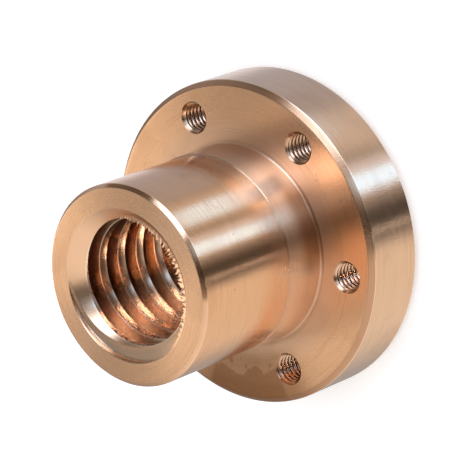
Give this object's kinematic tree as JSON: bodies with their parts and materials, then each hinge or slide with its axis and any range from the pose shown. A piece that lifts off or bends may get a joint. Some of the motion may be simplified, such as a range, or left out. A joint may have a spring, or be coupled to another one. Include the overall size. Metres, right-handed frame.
{
  "type": "lead screw nut",
  "caption": "Round flanged bronze nut for a left-hand trapezoidal lead screw, with a fitted collar, a sleeve and tapped flange holes.",
  "frame": {"origin": "centre of the bore on the flange's back face, which the nut stands on", "axes": "+Z along the screw from the flange to the nose; +X through one of the flange's tapped holes"},
  "size_m": [0.062, 0.062, 0.046],
  "materials": {
    "bronze": "turned tin bronze, bright and lightly oiled, with fine tool marks round the axis"
  },
  "bodies": {
    "root": {"nut": "bronze"}
  },
  "joints": []
}
